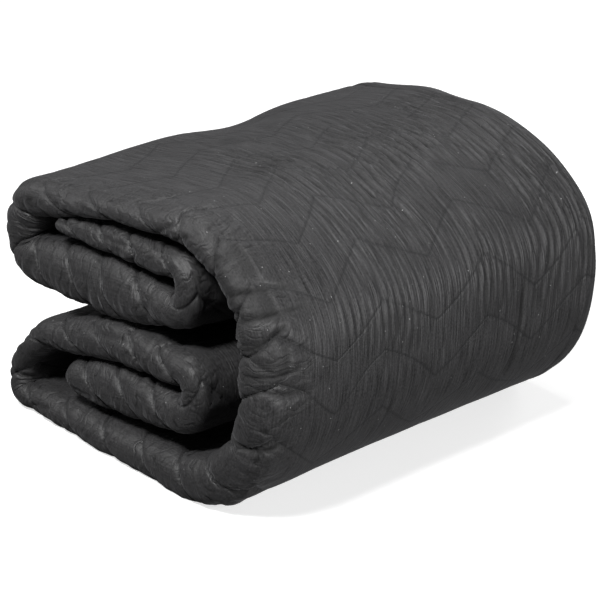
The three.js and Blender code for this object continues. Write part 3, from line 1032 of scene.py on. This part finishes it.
def mixed(share, a, b):
    """A colour between a and b, by a Mix node and the numbers of its colour sockets."""
    made = tree.nodes.new("ShaderNodeMix")
    made.data_type = "RGBA"
    tree.links.new(share, made.inputs["Factor"])
    for socket, value in ((made.inputs[MIX_COLOUR_A], a), (made.inputs[MIX_COLOUR_B], b)):
        if isinstance(value, bpy.types.NodeSocket):
            tree.links.new(value, socket)
        else:
            socket.default_value = value
    return made.outputs[MIX_COLOUR_RESULT]


pressed, folded_share = painted("pressed"), painted("folded_in")
streak_share = maths("MULTIPLY_ADD", pressed, PRESSED_MOTTLE_CHANGE, OPEN_MOTTLE)
grain = maths("ADD", slub, maths("MULTIPLY", streak, STREAK_IN_GRAIN))
mottle = maths("MULTIPLY", maths("SUBTRACT", grain, GRAIN_MEAN), streak_share)
flecked = maths("MULTIPLY_ADD", maths("SUBTRACT", fleck, NOISE_MIDDLE), FLECK_SHARE, TONE_BASE)
mottled = maths("MULTIPLY_ADD", mottle, MOTTLE_SHARE, flecked)
cloth_tone = maths("MULTIPLY_ADD", tone, TONE_SHARE, mottled, clamp=True)
# Painted shade along the thin crease lines of the pressed nose.
crease_line_shade_share = maths("MULTIPLY", maths("MULTIPLY", crease_line, pressed), CREASE_LINE_SHADE)
# Painted shade: the colour darkens towards its deepest where the cloth folds in and along crease lines.
painted_shade_share = maths("MAXIMUM", maths("MULTIPLY", folded_share, FOLDED_IN_SHADE), crease_line_shade_share)
colour = mixed(cloth_tone, COAL, COAL_WORN)
colour = mixed(painted_shade_share, colour, PAINTED_CREASE_SHADE)
# Painted shade: the sunk stitch groove is darkened towards the thread's colour.
colour = mixed(maths("MULTIPLY", groove, GROOVE_SHADE), colour, THREAD_AND_GROOVE_SHADE)
colour = mixed(thread, colour, THREAD_AND_GROOVE_SHADE)
colour = mixed(maths("MULTIPLY", lint_speck, LINT_SHARE), colour, LINT_PALE)
print("colour mixed in", len(tree.nodes), "nodes so far")

# %% The fine heights of the cloth
CALM_STREAK, PRESSED_STREAK_CHANGE, CRINKLED_STREAK_CHANGE = -0.0003, 0.0002, -0.0002
FINE_CREASE = 0.0048
WEAVE_HEIGHT, SLUB_HEIGHT, FLECK_HEIGHT = 0.00006, 0.0001, 0.00012
GROOVE_DEPTH, PRESSED_GROOVE_CHANGE = -0.0004, -0.0005

calm_depth = maths("MULTIPLY_ADD", pressed, PRESSED_STREAK_CHANGE, CALM_STREAK)
streak_depth = maths("MULTIPLY_ADD", painted("crinkle"), CRINKLED_STREAK_CHANGE, calm_depth)
crease_depth = maths("MULTIPLY", crease, maths("MULTIPLY", pressed, FINE_CREASE))
ripple_height = maths("MULTIPLY_ADD", streak_line, streak_depth, crease_depth)
thread_height = maths("MULTIPLY_ADD", weave, WEAVE_HEIGHT, maths("MULTIPLY", slub, SLUB_HEIGHT))
fine_height = maths("MULTIPLY_ADD", fleck, FLECK_HEIGHT, thread_height)
groove_depth = maths("MULTIPLY_ADD", pressed, PRESSED_GROOVE_CHANGE, GROOVE_DEPTH)
height = maths("ADD", maths("ADD", ripple_height, fine_height), maths("MULTIPLY", groove, groove_depth))
relief_normal = node("ShaderNodeBump", Strength=1.0, Distance=1.0, Height=height).outputs[0]
print("fine heights in", len(tree.nodes), "nodes so far")

# %% Gloss and sheen
ROUGHNESS, SLUB_ROUGHNESS, FOLDED_ROUGHNESS = 0.44, 0.2, 0.5
FINISH = {
    "Specular IOR Level": 0.34,
    "Sheen Weight": 0.08,
    "Sheen Roughness": 0.45,
    "Sheen Tint": (0.75, 0.75, 0.78, 1),
}


def set_inputs(made, values):
    """Sets values on a node's own sockets, by name."""
    for name, value in values.items():
        made.inputs[name].default_value = value


folded_rough = maths("MULTIPLY_ADD", folded_share, FOLDED_ROUGHNESS, ROUGHNESS)
rough = maths("MULTIPLY_ADD", slub, SLUB_ROUGHNESS, folded_rough)
shader = node("ShaderNodeBsdfPrincipled", Base_Color=colour, Roughness=rough, Normal=relief_normal)
set_inputs(shader, FINISH)
node("ShaderNodeOutputMaterial", Surface=shader.outputs[0])
mesh.materials.append(fabric)
print("fabric of", len(tree.nodes), "nodes")

# %% [markdown]
# ## The studio
# A product photo on white has a pale floor that runs out of sight and big soft lights. The floor could be a
# curved backdrop, but a flat floor that ends in a white world looks the same. The world is white to the eye
# and dim as a light, so that the folds keep their shadows, and the back light gives no gloss of its own.

# %% The floor
FLOOR_SIZE, FLOOR_DROP = 3.4, 0.0006
PAPER = {
    "Base Color": (0.6, 0.6, 0.6, 1),
    "Roughness": 0.3,
    "Specular IOR Level": 0.3,
    "Emission Color": (1, 1, 1, 1),
    "Emission Strength": 0.64,
}
bpy.ops.object.select_all(action="DESELECT")
bpy.ops.mesh.primitive_plane_add(size=FLOOR_SIZE, location=(0, 0, -FLOOR_DROP))
floor = bpy.context.object
floor.name = "studio_floor"
paper = bpy.data.materials.new("pale_floor")
paper.use_nodes = True
set_inputs(paper.node_tree.nodes["Principled BSDF"], PAPER)
floor.data.materials.append(paper)
floor.visible_diffuse = False
floor.visible_glossy = False
print("floor of", FLOOR_SIZE, "by", FLOOR_SIZE, "m")

# %% The lights: place, size and power
LIGHTS = {
    "key_softbox": ((0.45, -1.4, 1.9), 0.4, 62.0),
    "top_softbox": ((-0.5, 0.2, 2.0), 0.6, 14.0),
    "left_softbox": ((-1.3, -0.9, 1.2), 0.6, 8.0),
    "side_softbox": ((2.0, -0.1, 0.5), 1.1, 42.0),
    "back_softbox": ((-0.4, 2.2, 0.6), 0.8, 26.0),
}
for name, (place, size, power) in LIGHTS.items():
    bpy.ops.object.light_add(type="AREA", location=place)
    lamp = bpy.context.object
    lamp.name = name
    lamp.data.size, lamp.data.energy = size, power
    lamp.rotation_euler = (Vector(place) - LOOK_AT).to_track_quat("Z", "Y").to_euler()
    lamp.visible_glossy = name != "back_softbox"
print(len(LIGHTS), "lights")

# %% The world
FILL_STRENGTH, SEEN_STRENGTH = 0.08, 1.0
world = bpy.data.worlds.new("white_studio")
world.use_nodes = True
sky = world.node_tree
backdrop, seen = sky.nodes["Background"], sky.nodes.new("ShaderNodeLightPath")
backdrop.inputs["Color"].default_value = (1, 1, 1, 1)
strength = sky.nodes.new("ShaderNodeMapRange")
set_inputs(strength, {"To Min": FILL_STRENGTH, "To Max": SEEN_STRENGTH})
sky.links.new(seen.outputs["Is Camera Ray"], strength.inputs["Value"])
sky.links.new(strength.outputs[0], backdrop.inputs["Strength"])
bpy.context.scene.world = world
bpy.context.scene.view_settings.view_transform = "Standard"
print("white world, with a strength of", FILL_STRENGTH, "as a light")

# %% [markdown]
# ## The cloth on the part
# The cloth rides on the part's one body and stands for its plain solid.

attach(blanket, "root")
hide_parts("quilted_blanket")
